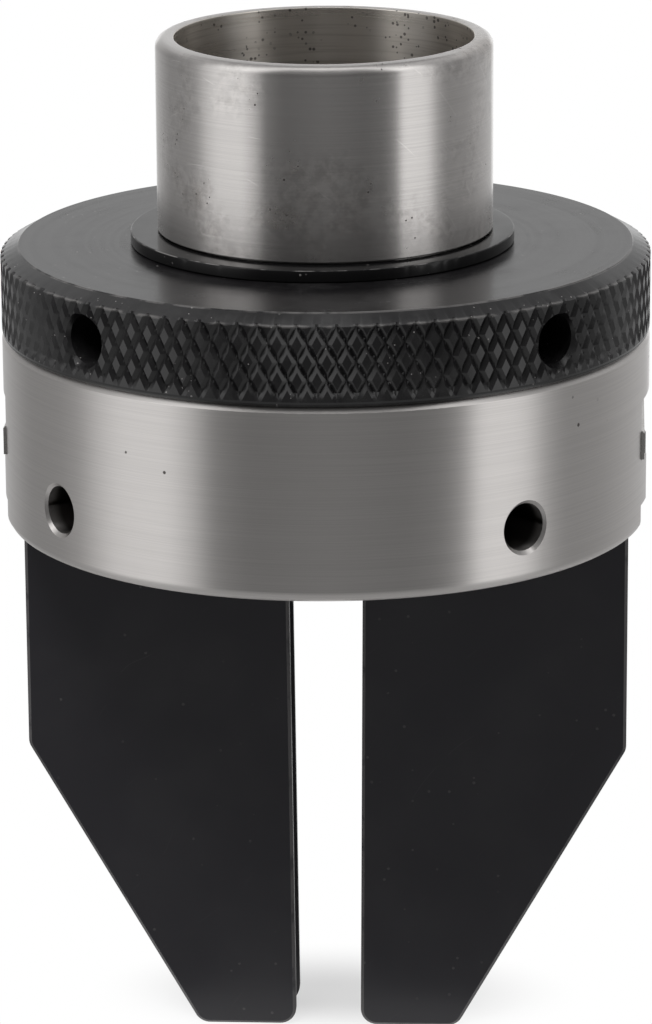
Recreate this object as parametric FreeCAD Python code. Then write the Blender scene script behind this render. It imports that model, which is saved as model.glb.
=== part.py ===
import FreeCAD, Part
import math
import os

from FreeCAD import Vector

# Two-jaw self-centring scroll chuck for a wood lathe, turned by tommy bars.
# Millimetres. The lathe axis is Z: the spindle enters from above, the jaws hang below.
# The origin is the centre of the hub's rear rim, where the spindle's shoulder seats.

# Body: drum, hub and bores
BODY_DIAMETER = 70.0
DRUM_HEIGHT = 20.8
DRUM_REAR_CHAMFER = 0.55
DRUM_FRONT_CHAMFER = 0.6
RECESS_WALL = 4.5
HUB_DIAMETER = 36.1
HUB_RIM_CHAMFER = 0.5
HUB_STANDOUT = 20.9
REGISTER_DIAMETER = 32.06
REGISTER_DEPTH = 10.0
THREAD_CORE_DIAMETER = 28.3
THREAD_LENGTH = 12.0
THROUGH_BORE = 26.0
BORE_CHAMFER = 0.5

# Diametral slot for the jaws, stacked from the front face upwards
SLOT_WIDTH = 15.0
MOUTH_DEPTH = 3.0
RAIL_HEIGHT = 5.0
FLANGE_HEIGHT = 3.9
SLIDE_CLEARANCE = 0.1

# Holes for the tommy bars
BAR_HOLE_DIAMETER = 5.1
BAR_HOLES = 4
BODY_BAR_HOLE_HEIGHT = 6.1
BODY_BAR_HOLE_MOUTH = 5.9
BODY_BAR_HOLE_DEPTH = 10.0
BODY_BAR_HOLE_TURN = 39.3
RING_BAR_HOLE_HEIGHT = 4.45
RING_BAR_HOLE_MOUTH = 6.1
RING_BAR_HOLE_DEPTH = 9.0
RING_BAR_HOLE_TURN = 46.8

# Scroll ring: knurled flange, plate in the body's recess, spiral rib below it
RING_HEIGHT = 9.6
RING_CHAMFER_RADIAL = 1.9
RING_CHAMFER_AXIAL = 1.1
RING_FOOT_CHAMFER = 0.3
SCROLL_PITCH = 3.0
RIB_THICKNESS = 1.2
RIB_HEIGHT = 2.6
RIB_FLOOR_GAP = 0.3
PLATE_CLEARANCE = 0.3
RIB_PLATE_MARGIN = 0.2
RIB_HUB_CLEARANCE = 0.4
HUB_FIT = 0.06
AXIAL_PLAY = 0.05

# Retaining ring, sprung into a groove of the hub
RETAINER_WIDTH = 3.45
RETAINER_THICKNESS = 1.3
RETAINER_GROOVE_DEPTH = 0.9
RETAINER_FIT = 0.05
RETAINER_SPLIT = 3.0
RETAINER_OFFSET = 0.35

# Jaw plates
JAW_THICKNESS = 8.5
JAW_HALF_GAP = 4.1
JAW_TOE_IN = 0.5
JAW_SETBACK = 2.1
JAW_DROP = 58.6
BEVEL_DROP = 25.9
BEVEL_ANGLE = 29.6
JAW_CORNER_ROUND = 1.8
JAW_EDGE_CHAMFER = 0.35
V_GROOVE_WIDTH = 6.0

# Jaw slides and their teeth
SLIDE_INNER_SETBACK = 0.2
SLIDE_SETBACK = 0.5
SLIDE_NOSE_CHAMFER = 1.0
TOOTH_THICKNESS = 1.2
TOOTH_HEIGHT = 2.3
TOOTH_SIDE_MARGIN = 0.2
TOOTH_END_MARGIN = 0.25

# Screws and dowels that join each plate to its slide
SCREW_DIAMETER = 4.0
SCREW_HEAD_DIAMETER = 7.0
SCREW_HEAD_HEIGHT = 3.8
SCREW_HEAD_CHAMFER = 0.3
SCREW_HEAD_SINK = 0.1
SCREW_LENGTH = 14.0
SCREW_THREAD_FIT = 0.03
SCREW_SOCKET = 3.0
SCREW_SOCKET_DEPTH = 2.0
SCREW_HOLE_CLEARANCE = 0.15
COUNTERBORE_CLEARANCE = 0.2
INNER_SCREW_INSET = 7.5
OUTER_SCREW_INSET = 3.0
DOWEL_DIAMETER = 3.0
DOWEL_LENGTH = 10.0
DOWEL_DEPTH_IN_SLIDE = 4.2
DOWEL_FIT = 0.02
DOWEL_END_GAP = 0.2
DOWEL_SPACING = 5.6

# Levels along the axis, from the rear rim down
BODY_RADIUS = BODY_DIAMETER / 2
HUB_RADIUS = HUB_DIAMETER / 2
Z_RIM = 0.0
Z_RETAINER_TOP = Z_RIM - HUB_STANDOUT
Z_RETAINER_FOOT = Z_RETAINER_TOP - RETAINER_THICKNESS
Z_RING_TOP = Z_RETAINER_FOOT - AXIAL_PLAY
Z_RING_FOOT = Z_RING_TOP - RING_HEIGHT
Z_DRUM_TOP = Z_RING_FOOT - AXIAL_PLAY
Z_FRONT = Z_DRUM_TOP - DRUM_HEIGHT
Z_RAIL_FOOT = Z_FRONT + MOUTH_DEPTH
Z_RAIL_TOP = Z_RAIL_FOOT + RAIL_HEIGHT
Z_FLANGE_FOOT = Z_RAIL_TOP + SLIDE_CLEARANCE
Z_FLANGE_TOP = Z_FLANGE_FOOT + FLANGE_HEIGHT
Z_RIB_FOOT = Z_FLANGE_TOP + RIB_FLOOR_GAP
Z_SCROLL_FACE = Z_RIB_FOOT + RIB_HEIGHT
Z_SLOT_TOP = Z_SCROLL_FACE - RIB_FLOOR_GAP
Z_FOOT_TOP = Z_RAIL_FOOT - SLIDE_CLEARANCE
Z_JAW_TIP = Z_FRONT - JAW_DROP

# Radii and distances from the axis
RECESS_RADIUS = BODY_RADIUS - RECESS_WALL
PLATE_RADIUS = RECESS_RADIUS - PLATE_CLEARANCE
RIB_OUTER_RADIUS = PLATE_RADIUS - RIB_PLATE_MARGIN
RIB_INNER_RADIUS = HUB_RADIUS + RIB_HUB_CLEARANCE
RETAINER_INNER_RADIUS = HUB_RADIUS - RETAINER_GROOVE_DEPTH + RETAINER_FIT
RETAINER_OUTER_RADIUS = RETAINER_INNER_RADIUS + RETAINER_WIDTH
RAIL_GAP = JAW_THICKNESS + 2 * SLIDE_CLEARANCE
FLANGE_WIDTH = SLOT_WIDTH - 2 * SLIDE_CLEARANCE
JAW_OUTER_X = BODY_RADIUS - JAW_SETBACK
TIP_HALF_GAP = JAW_HALF_GAP - JAW_TOE_IN
SLIDE_INNER_X = JAW_HALF_GAP + SLIDE_INNER_SETBACK
SLIDE_OUTER_X = BODY_RADIUS - SLIDE_SETBACK
INNER_SCREW_X = JAW_HALF_GAP + INNER_SCREW_INSET
OUTER_SCREW_X = JAW_OUTER_X - OUTER_SCREW_INSET
COUNTERBORE_RADIUS = SCREW_HEAD_DIAMETER / 2 + COUNTERBORE_CLEARANCE
DOWEL_MIDDLE_X = (INNER_SCREW_X + OUTER_SCREW_X) / 2


def box(x0, x1, y0, y1, z0, z1):
    """A block between two corners."""
    return Part.makeBox(x1 - x0, y1 - y0, z1 - z0, Vector(x0, y0, z0))


def rod(radius, x, y, z0, z1):
    """An upright cylinder between two levels."""
    return Part.makeCylinder(radius, z1 - z0, Vector(x, y, z0))


def softened_wire(corners):
    """A closed outline from (point, form, size) corners; form is sharp, round or chamfer."""
    edges = []
    ends = []
    count = len(corners)
    for i, (point, form, size) in enumerate(corners):
        if form == "sharp":
            ends.append((point, point))
            continue
        before = (corners[i - 1][0] - point).normalize()
        after = (corners[(i + 1) % count][0] - point).normalize()
        reach = size
        if form == "round":
            reach = size / math.tan(before.getAngle(after) / 2)
        start = point + before * reach
        finish = point + after * reach
        ends.append((start, finish))
        if form == "chamfer":
            edges.append(Part.makeLine(start, finish))
            continue
        half = before.getAngle(after) / 2
        middle = point + (before + after).normalize() * (size / math.sin(half) - size)
        edges.append(Part.Arc(start, middle, finish).toShape())
    for i in range(count):
        start = ends[i][1]
        finish = ends[(i + 1) % count][0]
        if start.distanceToPoint(finish) > 1e-6:
            edges.append(Part.makeLine(start, finish))
    return Part.Wire(Part.__sortEdges__(edges))


def turned(profile):
    """A solid of revolution about Z from (radius, level, form, size) corners."""
    corners = [(Vector(r, 0, z), form, size) for r, z, form, size in profile]
    return Part.Face(softened_wire(corners)).revolve(Vector(), Vector(0, 0, 1), 360)


def bar_holes(turn, level, depth, mouth):
    """The blind radial holes round the rim, each with a chamfered mouth."""
    holes = []
    mouth_depth = (mouth - BAR_HOLE_DIAMETER) / 2
    beyond = 1.0
    for i in range(BAR_HOLES):
        angle = math.radians(turn + 360.0 / BAR_HOLES * i)
        outwards = Vector(math.sin(angle), -math.cos(angle), 0)
        floor = outwards * (BODY_RADIUS - depth) + Vector(0, 0, level)
        holes.append(Part.makeCylinder(BAR_HOLE_DIAMETER / 2, depth + beyond, floor, outwards))
        edge = outwards * (BODY_RADIUS - mouth_depth) + Vector(0, 0, level)
        wide = mouth / 2 + beyond
        reach = mouth_depth + beyond
        holes.append(Part.makeCone(BAR_HOLE_DIAMETER / 2, wide, reach, edge, outwards))
    return holes


def chuck_body():
    """Drum and hub in one turned piece, slotted across its front for the two jaws."""
    thread_foot = Z_RIM - REGISTER_DEPTH - THREAD_LENGTH
    groove_radius = HUB_RADIUS - RETAINER_GROOVE_DEPTH
    groove_top = Z_RETAINER_TOP + AXIAL_PLAY / 2
    groove_foot = Z_RETAINER_FOOT - AXIAL_PLAY / 2
    body = turned([
        (THROUGH_BORE / 2, Z_FRONT, "chamfer", BORE_CHAMFER),
        (BODY_RADIUS, Z_FRONT, "chamfer", DRUM_FRONT_CHAMFER),
        (BODY_RADIUS, Z_DRUM_TOP, "chamfer", DRUM_REAR_CHAMFER),
        (RECESS_RADIUS, Z_DRUM_TOP, "sharp", 0),
        (RECESS_RADIUS, Z_FLANGE_TOP, "sharp", 0),
        (HUB_RADIUS, Z_FLANGE_TOP, "sharp", 0),
        (HUB_RADIUS, groove_foot, "sharp", 0),
        (groove_radius, groove_foot, "sharp", 0),
        (groove_radius, groove_top, "sharp", 0),
        (HUB_RADIUS, groove_top, "sharp", 0),
        (HUB_RADIUS, Z_RIM, "chamfer", HUB_RIM_CHAMFER),
        (REGISTER_DIAMETER / 2, Z_RIM, "sharp", 0),
        (REGISTER_DIAMETER / 2, Z_RIM - REGISTER_DEPTH, "sharp", 0),
        (THREAD_CORE_DIAMETER / 2, Z_RIM - REGISTER_DEPTH, "sharp", 0),
        (THREAD_CORE_DIAMETER / 2, thread_foot, "sharp", 0),
        (THROUGH_BORE / 2, thread_foot, "chamfer", BORE_CHAMFER),
    ])
    end = BODY_RADIUS + 1
    half = SLOT_WIDTH / 2
    slot = box(-end, end, -half, half, Z_FRONT - 1, Z_RAIL_FOOT)
    slot = slot.fuse(box(-end, end, -half, half, Z_RAIL_TOP, Z_SLOT_TOP))
    slot = slot.fuse(box(-end, end, -RAIL_GAP / 2, RAIL_GAP / 2, Z_FRONT, Z_SLOT_TOP))
    body = body.cut(slot)
    level = Z_FRONT + BODY_BAR_HOLE_HEIGHT
    return body.cut(bar_holes(BODY_BAR_HOLE_TURN, level, BODY_BAR_HOLE_DEPTH, BODY_BAR_HOLE_MOUTH))


def first_tooth_x():
    """Where the right jaw's innermost tooth stands, just past the inner screw's head."""
    return INNER_SCREW_X + COUNTERBORE_RADIUS + TOOTH_END_MARGIN + TOOTH_THICKNESS / 2


def spiral_start_radius():
    """The rib's outer end: half a pitch off the right jaw's teeth, as far out as fits."""
    nearest = first_tooth_x() + SCROLL_PITCH / 2
    room = RIB_OUTER_RADIUS - RIB_THICKNESS / 2 - nearest
    return nearest + math.floor(room / SCROLL_PITCH) * SCROLL_PITCH


def spiral_point(radius, angle, offset):
    """A point of the spiral, moved off its middle line by the offset."""
    r = radius + offset - SCROLL_PITCH * angle / (2 * math.pi)
    return Vector(r * math.cos(angle), r * math.sin(angle), Z_RIB_FOOT)


def spiral_rib():
    """The scroll: an Archimedean rib that winds inwards, anticlockwise seen from above."""
    start = spiral_start_radius()
    turns = (start - RIB_THICKNESS / 2 - RIB_INNER_RADIUS) / SCROLL_PITCH
    arcs = max(4, round(turns * 6))
    step = turns * 2 * math.pi / arcs
    half = RIB_THICKNESS / 2
    edges = []
    for side in (half, -half):
        for i in range(arcs):
            points = [spiral_point(start, step * (i + part), side) for part in (0, 0.5, 1)]
            edges.append(Part.Arc(*points).toShape())
    for angle in (0, step * arcs):
        edges.append(Part.makeLine(spiral_point(start, angle, half), spiral_point(start, angle, -half)))
    face = Part.Face(Part.Wire(Part.__sortEdges__(edges)))
    return face.extrude(Vector(0, 0, RIB_HEIGHT + 0.4))


def scroll_ring():
    """Knurled flange, plate and spiral rib in one piece, running on the hub."""
    bore = HUB_RADIUS + HUB_FIT
    top_radius = BODY_RADIUS - RING_CHAMFER_RADIAL
    ring = turned([
        (bore, Z_SCROLL_FACE, "sharp", 0),
        (PLATE_RADIUS, Z_SCROLL_FACE, "sharp", 0),
        (PLATE_RADIUS, Z_RING_FOOT, "sharp", 0),
        (BODY_RADIUS, Z_RING_FOOT, "chamfer", RING_FOOT_CHAMFER),
        (BODY_RADIUS, Z_RING_TOP - RING_CHAMFER_AXIAL, "sharp", 0),
        (top_radius, Z_RING_TOP, "sharp", 0),
        (bore, Z_RING_TOP, "chamfer", RING_FOOT_CHAMFER),
    ])
    ring = ring.fuse(spiral_rib()).removeSplitter()
    level = Z_RING_FOOT + RING_BAR_HOLE_HEIGHT
    return ring.cut(bar_holes(RING_BAR_HOLE_TURN, level, RING_BAR_HOLE_DEPTH, RING_BAR_HOLE_MOUTH))


def retaining_ring():
    """A split ring sprung into the hub's groove, a little wider on the left, its gap at the back."""
    ring = rod(RETAINER_OUTER_RADIUS, -RETAINER_OFFSET, 0, Z_RETAINER_FOOT, Z_RETAINER_TOP)
    ring = ring.cut(rod(RETAINER_INNER_RADIUS, 0, 0, Z_RETAINER_FOOT, Z_RETAINER_TOP))
    half = RETAINER_SPLIT / 2
    beyond = RETAINER_OUTER_RADIUS * 2
    return ring.cut(box(-half, half, 0, beyond, Z_RETAINER_FOOT - 1, Z_RETAINER_TOP + 1))


def v_groove(face_x, foot, top, lean):
    """A square vee up a gripping face, whose top stands back by the lean."""
    half = V_GROOVE_WIDTH / 2
    behind = half
    corners = [
        Vector(face_x - behind, half + behind, foot),
        Vector(face_x + half, 0, foot),
        Vector(face_x - behind, -half - behind, foot),
    ]
    return Part.Face(Part.makePolygon(corners + corners[:1])).extrude(Vector(lean, 0, top - foot))


def root_groove():
    """The straight part of the vee, in the slide and the plate's foot."""
    return v_groove(JAW_HALF_GAP, Z_FRONT, Z_SLOT_TOP, 0)


def blade_groove():
    """The part of the vee that follows the blade's toe-in, down to its tip."""
    return v_groove(TIP_HALF_GAP, Z_JAW_TIP, Z_FRONT, JAW_TOE_IN)


def jaw_tooth(x):
    """One crescent tooth: flatter than the rib inside it, rounder than the rib outside it."""
    half = FLANGE_WIDTH / 2 - TOOTH_SIDE_MARGIN
    inner = x - TOOTH_THICKNESS / 2
    outer = x + TOOTH_THICKNESS / 2
    sink = 0.5
    z = Z_FLANGE_TOP - sink
    inner_sag = RIB_OUTER_RADIUS - math.sqrt(RIB_OUTER_RADIUS ** 2 - half ** 2)
    outer_sag = RIB_INNER_RADIUS - math.sqrt(RIB_INNER_RADIUS ** 2 - half ** 2)
    concave = [Vector(inner - inner_sag, -half, z), Vector(inner, 0, z), Vector(inner - inner_sag, half, z)]
    convex = [Vector(outer - outer_sag, half, z), Vector(outer, 0, z), Vector(outer - outer_sag, -half, z)]
    edges = [
        Part.Arc(*concave).toShape(),
        Part.makeLine(concave[2], convex[0]),
        Part.Arc(*convex).toShape(),
        Part.makeLine(convex[2], concave[0]),
    ]
    tooth = Part.Face(Part.Wire(edges)).extrude(Vector(0, 0, TOOTH_HEIGHT + sink))
    mean_radius = (RIB_INNER_RADIUS + RIB_OUTER_RADIUS) / 2
    slope = math.degrees(math.atan(SCROLL_PITCH / (2 * math.pi * mean_radius)))
    tooth.rotate(Vector(x, 0, 0), Vector(0, 0, 1), slope)
    return tooth


def tooth_places(first):
    """Distances of a jaw's teeth from the axis, one pitch apart between the screw heads."""
    last = OUTER_SCREW_X - COUNTERBORE_RADIUS - TOOTH_END_MARGIN - TOOTH_THICKNESS / 2
    count = math.floor((last - first) / SCROLL_PITCH + 1e-6) + 1
    return [first + SCROLL_PITCH * i for i in range(count)]


def dowel_places():
    return [DOWEL_MIDDLE_X - DOWEL_SPACING / 2, DOWEL_MIDDLE_X + DOWEL_SPACING / 2]


def jaw_slide(first):
    """A tee-section slide that hangs on the body's rails, with teeth on its back."""
    neck = JAW_THICKNESS / 2
    wide = FLANGE_WIDTH / 2
    slide = box(SLIDE_INNER_X, SLIDE_OUTER_X, -wide, wide, Z_FLANGE_FOOT, Z_FLANGE_TOP)
    slide = slide.fuse(box(SLIDE_INNER_X, JAW_OUTER_X, -neck, neck, Z_FOOT_TOP, Z_FLANGE_FOOT))
    nose = [
        Vector(SLIDE_OUTER_X, -wide, Z_FLANGE_TOP),
        Vector(SLIDE_OUTER_X, -wide, Z_FLANGE_TOP - SLIDE_NOSE_CHAMFER),
        Vector(SLIDE_OUTER_X - SLIDE_NOSE_CHAMFER, -wide, Z_FLANGE_TOP),
    ]
    slide = slide.cut(Part.Face(Part.makePolygon(nose + nose[:1])).extrude(Vector(0, 2 * wide, 0)))
    for x in tooth_places(first):
        slide = slide.fuse(jaw_tooth(x))
    slide = slide.removeSplitter().cut(root_groove())
    head_seat = screw_head_seat()
    for x in (INNER_SCREW_X, OUTER_SCREW_X):
        slide = slide.cut(rod(COUNTERBORE_RADIUS, x, 0, head_seat, Z_FLANGE_TOP + 1))
        slide = slide.cut(rod(SCREW_DIAMETER / 2 + SCREW_HOLE_CLEARANCE, x, 0, Z_FOOT_TOP - 1, head_seat))
    for x in dowel_places():
        top = Z_FOOT_TOP + DOWEL_DEPTH_IN_SLIDE + DOWEL_END_GAP
        slide = slide.cut(rod(DOWEL_DIAMETER / 2 + DOWEL_FIT, x, 0, Z_FOOT_TOP - 1, top))
    return slide


def jaw_plate():
    """The long black jaw: a bevelled, toed-in blade with a foot that bears under the rails."""
    tip_x = JAW_OUTER_X - (JAW_DROP - BEVEL_DROP) * math.tan(math.radians(BEVEL_ANGLE))
    half = JAW_THICKNESS / 2
    bevel_z = Z_FRONT - BEVEL_DROP
    outline = softened_wire([
        (Vector(JAW_HALF_GAP, -half, Z_FOOT_TOP), "sharp", 0),
        (Vector(JAW_OUTER_X, -half, Z_FOOT_TOP), "sharp", 0),
        (Vector(JAW_OUTER_X, -half, bevel_z), "round", JAW_CORNER_ROUND),
        (Vector(tip_x, -half, Z_JAW_TIP), "round", JAW_CORNER_ROUND),
        (Vector(TIP_HALF_GAP, -half, Z_JAW_TIP), "round", JAW_CORNER_ROUND),
        (Vector(JAW_HALF_GAP, -half, Z_FRONT), "sharp", 0),
    ])
    blade = Part.Face(outline).extrude(Vector(0, JAW_THICKNESS, 0))
    rims = [e for e in blade.Edges if on_blade_rim(e, half)]
    blade = blade.makeChamfer(JAW_EDGE_CHAMFER, rims)
    wide = FLANGE_WIDTH / 2
    foot = box(JAW_HALF_GAP, JAW_OUTER_X, -wide, wide, Z_FRONT, Z_FOOT_TOP)
    plate = blade.fuse(foot).removeSplitter().cut(root_groove()).cut(blade_groove())
    for x in (INNER_SCREW_X, OUTER_SCREW_X):
        plate = plate.cut(rod(SCREW_DIAMETER / 2, x, 0, screw_tip() - 1, Z_FOOT_TOP + 1))
    for x in dowel_places():
        foot_level = dowel_foot() - DOWEL_END_GAP
        plate = plate.cut(rod(DOWEL_DIAMETER / 2 + DOWEL_FIT, x, 0, foot_level, Z_FOOT_TOP + 1))
    return plate


def on_blade_rim(edge, half):
    """True for the outline edges of the blade's two broad faces, apart from the top one."""
    span = edge.BoundBox
    flat = abs(abs(span.YMin) - half) < 1e-6 and span.YLength < 1e-6
    return flat and span.ZMin < Z_FOOT_TOP - 1e-6


def screw_head_seat():
    return Z_FLANGE_TOP - SCREW_HEAD_HEIGHT - SCREW_HEAD_SINK


def screw_tip():
    return screw_head_seat() - SCREW_LENGTH


def dowel_foot():
    return Z_FOOT_TOP + DOWEL_DEPTH_IN_SLIDE - DOWEL_LENGTH


def cap_screw(x):
    """A socket head cap screw, sunk in the slide's back and threaded into the plate."""
    seat = screw_head_seat()
    head_top = seat + SCREW_HEAD_HEIGHT
    head = rod(SCREW_HEAD_DIAMETER / 2, x, 0, seat, head_top)
    rim = [e for e in head.Edges if e.BoundBox.ZMin > head_top - 1e-6]
    head = head.makeChamfer(SCREW_HEAD_CHAMFER, rim)
    shank = rod(SCREW_DIAMETER / 2 - SCREW_THREAD_FIT, x, 0, screw_tip(), seat)
    corner = SCREW_SOCKET / 2 / math.cos(math.radians(30))
    turns = [math.radians(60 * i) for i in range(7)]
    floor = head_top - SCREW_SOCKET_DEPTH
    points = [Vector(x + corner * math.cos(a), corner * math.sin(a), floor) for a in turns]
    socket = Part.Face(Part.makePolygon(points)).extrude(Vector(0, 0, SCREW_SOCKET_DEPTH + 1))
    return head.fuse(shank).removeSplitter().cut(socket)


def dowel(x):
    """A ground dowel, half in the slide and half in the plate."""
    return rod(DOWEL_DIAMETER / 2, x, 0, dowel_foot(), dowel_foot() + DOWEL_LENGTH)


def jaw_parts(side, first, turn):
    """All pieces of one jaw, made on +X and turned to its own side."""
    inner_dowel, outer_dowel = dowel_places()
    parts = {
        side + "_jaw_slide": jaw_slide(first),
        side + "_jaw_plate": jaw_plate(),
        side + "_inner_screw": cap_screw(INNER_SCREW_X),
        side + "_outer_screw": cap_screw(OUTER_SCREW_X),
        side + "_inner_dowel": dowel(inner_dowel),
        side + "_outer_dowel": dowel(outer_dowel),
    }
    for shape in parts.values():
        shape.rotate(Vector(), Vector(0, 0, 1), turn)
    return parts


def whole_chuck():
    first = first_tooth_x()
    parts = {
        "chuck_body": chuck_body(),
        "scroll_ring": scroll_ring(),
        "retaining_ring": retaining_ring(),
    }
    parts.update(jaw_parts("right", first, 0))
    parts.update(jaw_parts("left", first + SCROLL_PITCH / 2, 180))
    return parts


os.makedirs("parts", exist_ok=True)
for name, shape in whole_chuck().items():
    solid = shape.Solids[0]
    print(name, len(shape.Solids), "solid", "valid" if solid.isValid() else "INVALID", round(solid.Volume, 1))
    solid.exportStep("parts/" + name + ".step")
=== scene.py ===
import math

import bmesh
import bpy
import numpy as np
from mathutils import Matrix, Vector


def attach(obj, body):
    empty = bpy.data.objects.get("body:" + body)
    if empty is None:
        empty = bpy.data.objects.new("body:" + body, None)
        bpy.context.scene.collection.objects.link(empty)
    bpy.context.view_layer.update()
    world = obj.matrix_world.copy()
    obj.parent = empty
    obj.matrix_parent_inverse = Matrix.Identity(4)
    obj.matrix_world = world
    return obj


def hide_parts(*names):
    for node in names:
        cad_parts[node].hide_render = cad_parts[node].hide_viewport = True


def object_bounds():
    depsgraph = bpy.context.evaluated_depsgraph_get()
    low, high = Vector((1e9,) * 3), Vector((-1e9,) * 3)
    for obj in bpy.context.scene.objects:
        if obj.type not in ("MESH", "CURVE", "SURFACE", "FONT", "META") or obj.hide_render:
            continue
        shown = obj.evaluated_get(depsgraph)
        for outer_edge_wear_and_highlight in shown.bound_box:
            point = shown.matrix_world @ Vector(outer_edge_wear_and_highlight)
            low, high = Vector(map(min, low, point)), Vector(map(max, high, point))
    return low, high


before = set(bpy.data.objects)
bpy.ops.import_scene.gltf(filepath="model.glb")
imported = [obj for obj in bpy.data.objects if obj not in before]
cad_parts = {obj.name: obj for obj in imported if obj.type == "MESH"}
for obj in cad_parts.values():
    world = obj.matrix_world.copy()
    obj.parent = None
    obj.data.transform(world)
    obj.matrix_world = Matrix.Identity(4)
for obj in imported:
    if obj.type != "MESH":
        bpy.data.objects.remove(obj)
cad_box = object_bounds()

# Camera. A long lens a little above and to the right of the chuck's front, aimed at the
# drum's front face. Its angles fit 69 points measured on the photograph.
MM = 0.001
VIEW_AZIMUTH = math.radians(3.2)
VIEW_ELEVATION = math.radians(16.07)
VIEW_ROLL = math.radians(-0.382)
VIEW_DISTANCE = 563.7 * MM
FOCAL_LENGTH = 181.17
SENSOR_WIDTH = 36
NEAREST_SEEN = 10 * MM
AIM = Vector((0, 0, -52.7 * MM))
PICTURE_SIZE = (652, 1024)
AIM_PIXEL = (327.17, 510.15)

right = Vector((math.cos(VIEW_AZIMUTH), math.sin(VIEW_AZIMUTH), 0))
back = Vector((
    math.sin(VIEW_AZIMUTH) * math.cos(VIEW_ELEVATION),
    -math.cos(VIEW_AZIMUTH) * math.cos(VIEW_ELEVATION),
    math.sin(VIEW_ELEVATION),
))
up = back.cross(right)
across = right * math.cos(VIEW_ROLL) + up * math.sin(VIEW_ROLL)
upward = up * math.cos(VIEW_ROLL) - right * math.sin(VIEW_ROLL)
camera = bpy.data.objects.new("camera", bpy.data.cameras.new("camera"))
camera.data.lens = FOCAL_LENGTH
camera.data.sensor_width = SENSOR_WIDTH
camera.data.shift_x = (PICTURE_SIZE[0] / 2 - AIM_PIXEL[0]) / PICTURE_SIZE[1]
camera.data.shift_y = (AIM_PIXEL[1] - PICTURE_SIZE[1] / 2) / PICTURE_SIZE[1]
camera.data.clip_start = NEAREST_SEEN
aimed = Matrix((across, upward, back)).transposed().to_4x4()
camera.matrix_world = Matrix.Translation(AIM + back * VIEW_DISTANCE) @ aimed
bpy.context.scene.collection.objects.link(camera)
bpy.context.scene.camera = camera
bpy.context.scene.view_settings.view_transform = "Standard"


# Studio. A pale table under the jaw tips, a white room behind and above, a soft box at each
# side and the dark end of the room behind the photographer, which the steel mirrors.
TABLE_RADIUS = 60 * MM
TABLE_SIDES = 96
TABLE_SETBACK = 46 * MM
TABLE_COLOUR = (0.86, 0.86, 0.86, 1)
# The table keeps the shadow under the tips and turns to plain white away from them: where
# the shadow lies, where it starts and ends, how wide it is, and how white it is in its middle.
SHADOW_SETBACK = 6 * MM
SHADOW_REACH = (2 * MM, 16 * MM)
SHADOW_WIDTH = 1.8
SHADOW_FADE = 0.55
LAMP_PLACE = Vector((-0.12, -0.25, 0.5))
LAMP_SIZE = 0.35
LAMP_POWER = 3.2
# Brightness of the room round the chuck: degrees from the front towards +X, and brightness.
ROOM_BRIGHTNESS = [
    (-180, 0.66), (-160, 0.52), (-130, 0.29), (-108, 0.32), (-97, 0.42), (-88, 0.74),
    (-78, 0.95), (-58, 0.98), (-48, 0.60), (-41, 0.18), (-28, 0.105), (0, 0.14), (28, 0.105),
    (41, 0.15), (50, 0.30), (55, 1.05), (74, 0.98), (84, 0.45), (92, 0.29), (112, 0.33),
    (140, 0.49), (180, 0.66),
]
# Other parts of the room: brightness, and the heights (sines) where they start and are full.
# The upper wall shows only between the soft boxes, and the floor's glow only in front.
UPPER_WALL = (0.24, math.sin(math.radians(24)), math.sin(math.radians(44)))
CEILING_LIGHT = (1.35, math.sin(math.radians(66)), math.sin(math.radians(88)))
LOWER_WALL = (0.42, math.sin(math.radians(-24)), math.sin(math.radians(-50)))
FLOOR_GLOW = (0.075, math.sin(math.radians(-12.5)), math.sin(math.radians(-16.5)))
BOX_TOP_GAIN = 1.4
BOX_TOP_HEIGHTS = (math.sin(math.radians(18)), math.sin(math.radians(34)))
# Directions, as parts of a unit vector: the wall between the boxes, the front, and the
# white behind the chuck that grazing steel mirrors, down to the horizon.
BETWEEN_BOXES = (0.62, 0.42)
IN_FRONT = (-0.60, -0.80)
STRAIGHT_BEHIND = (0.93, 0.96)
UNDER_HORIZON = (0.16, 0.02)
WHITE = (1, 1, 1, 1)


def add_node(tree, kind, wires=None, **settings):
    """A node of that kind. Wires maps an input's name or number to a value or an output."""
    made = tree.nodes.new(kind)
    for key, value in settings.items():
        setattr(made, key, value)
    for key, value in (wires or {}).items():
        if isinstance(value, bpy.types.NodeSocket):
            tree.links.new(value, made.inputs[key])
        else:
            made.inputs[key].default_value = value
    return made


def sum_of(tree, operation, *values, clamp=False):
    """The output of a math node."""
    made = add_node(tree, "ShaderNodeMath", dict(enumerate(values)), operation=operation, use_clamp=clamp)
    return made.outputs[0]


def times(tree, first, *others):
    """All the values multiplied together."""
    for other in others:
        first = sum_of(tree, "MULTIPLY", first, other)
    return first


def parts_of(tree, vector):
    """The three parts of a vector."""
    return add_node(tree, "ShaderNodeSeparateXYZ", {0: vector}).outputs[0:3]


def length_of(tree, first, second):
    """The length of a flat vector."""
    squared = sum_of(tree, "MULTIPLY_ADD", first, first, times(tree, second, second))
    return sum_of(tree, "SQRT", squared)


def spread(tree, value, low, high, to_low=0.0, to_high=1.0):
    """The value mapped smoothly from low..high to to_low..to_high, and held at the ends."""
    wires = {"Value": value, "From Min": low, "From Max": high, "To Min": to_low, "To Max": to_high}
    return add_node(tree, "ShaderNodeMapRange", wires, interpolation_type="SMOOTHSTEP").outputs["Result"]


def blend_colours(tree, share, first, second):
    """A colour between two others."""
    made = add_node(tree, "ShaderNodeMix", {0: share, 6: first, 7: second}, data_type="RGBA")
    return made.outputs[2]


def scaled(tree, colour, gain):
    """A colour with its brightness multiplied."""
    return add_node(tree, "ShaderNodeVectorMath", {0: colour, "Scale": gain}, operation="SCALE").outputs[0]


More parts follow.
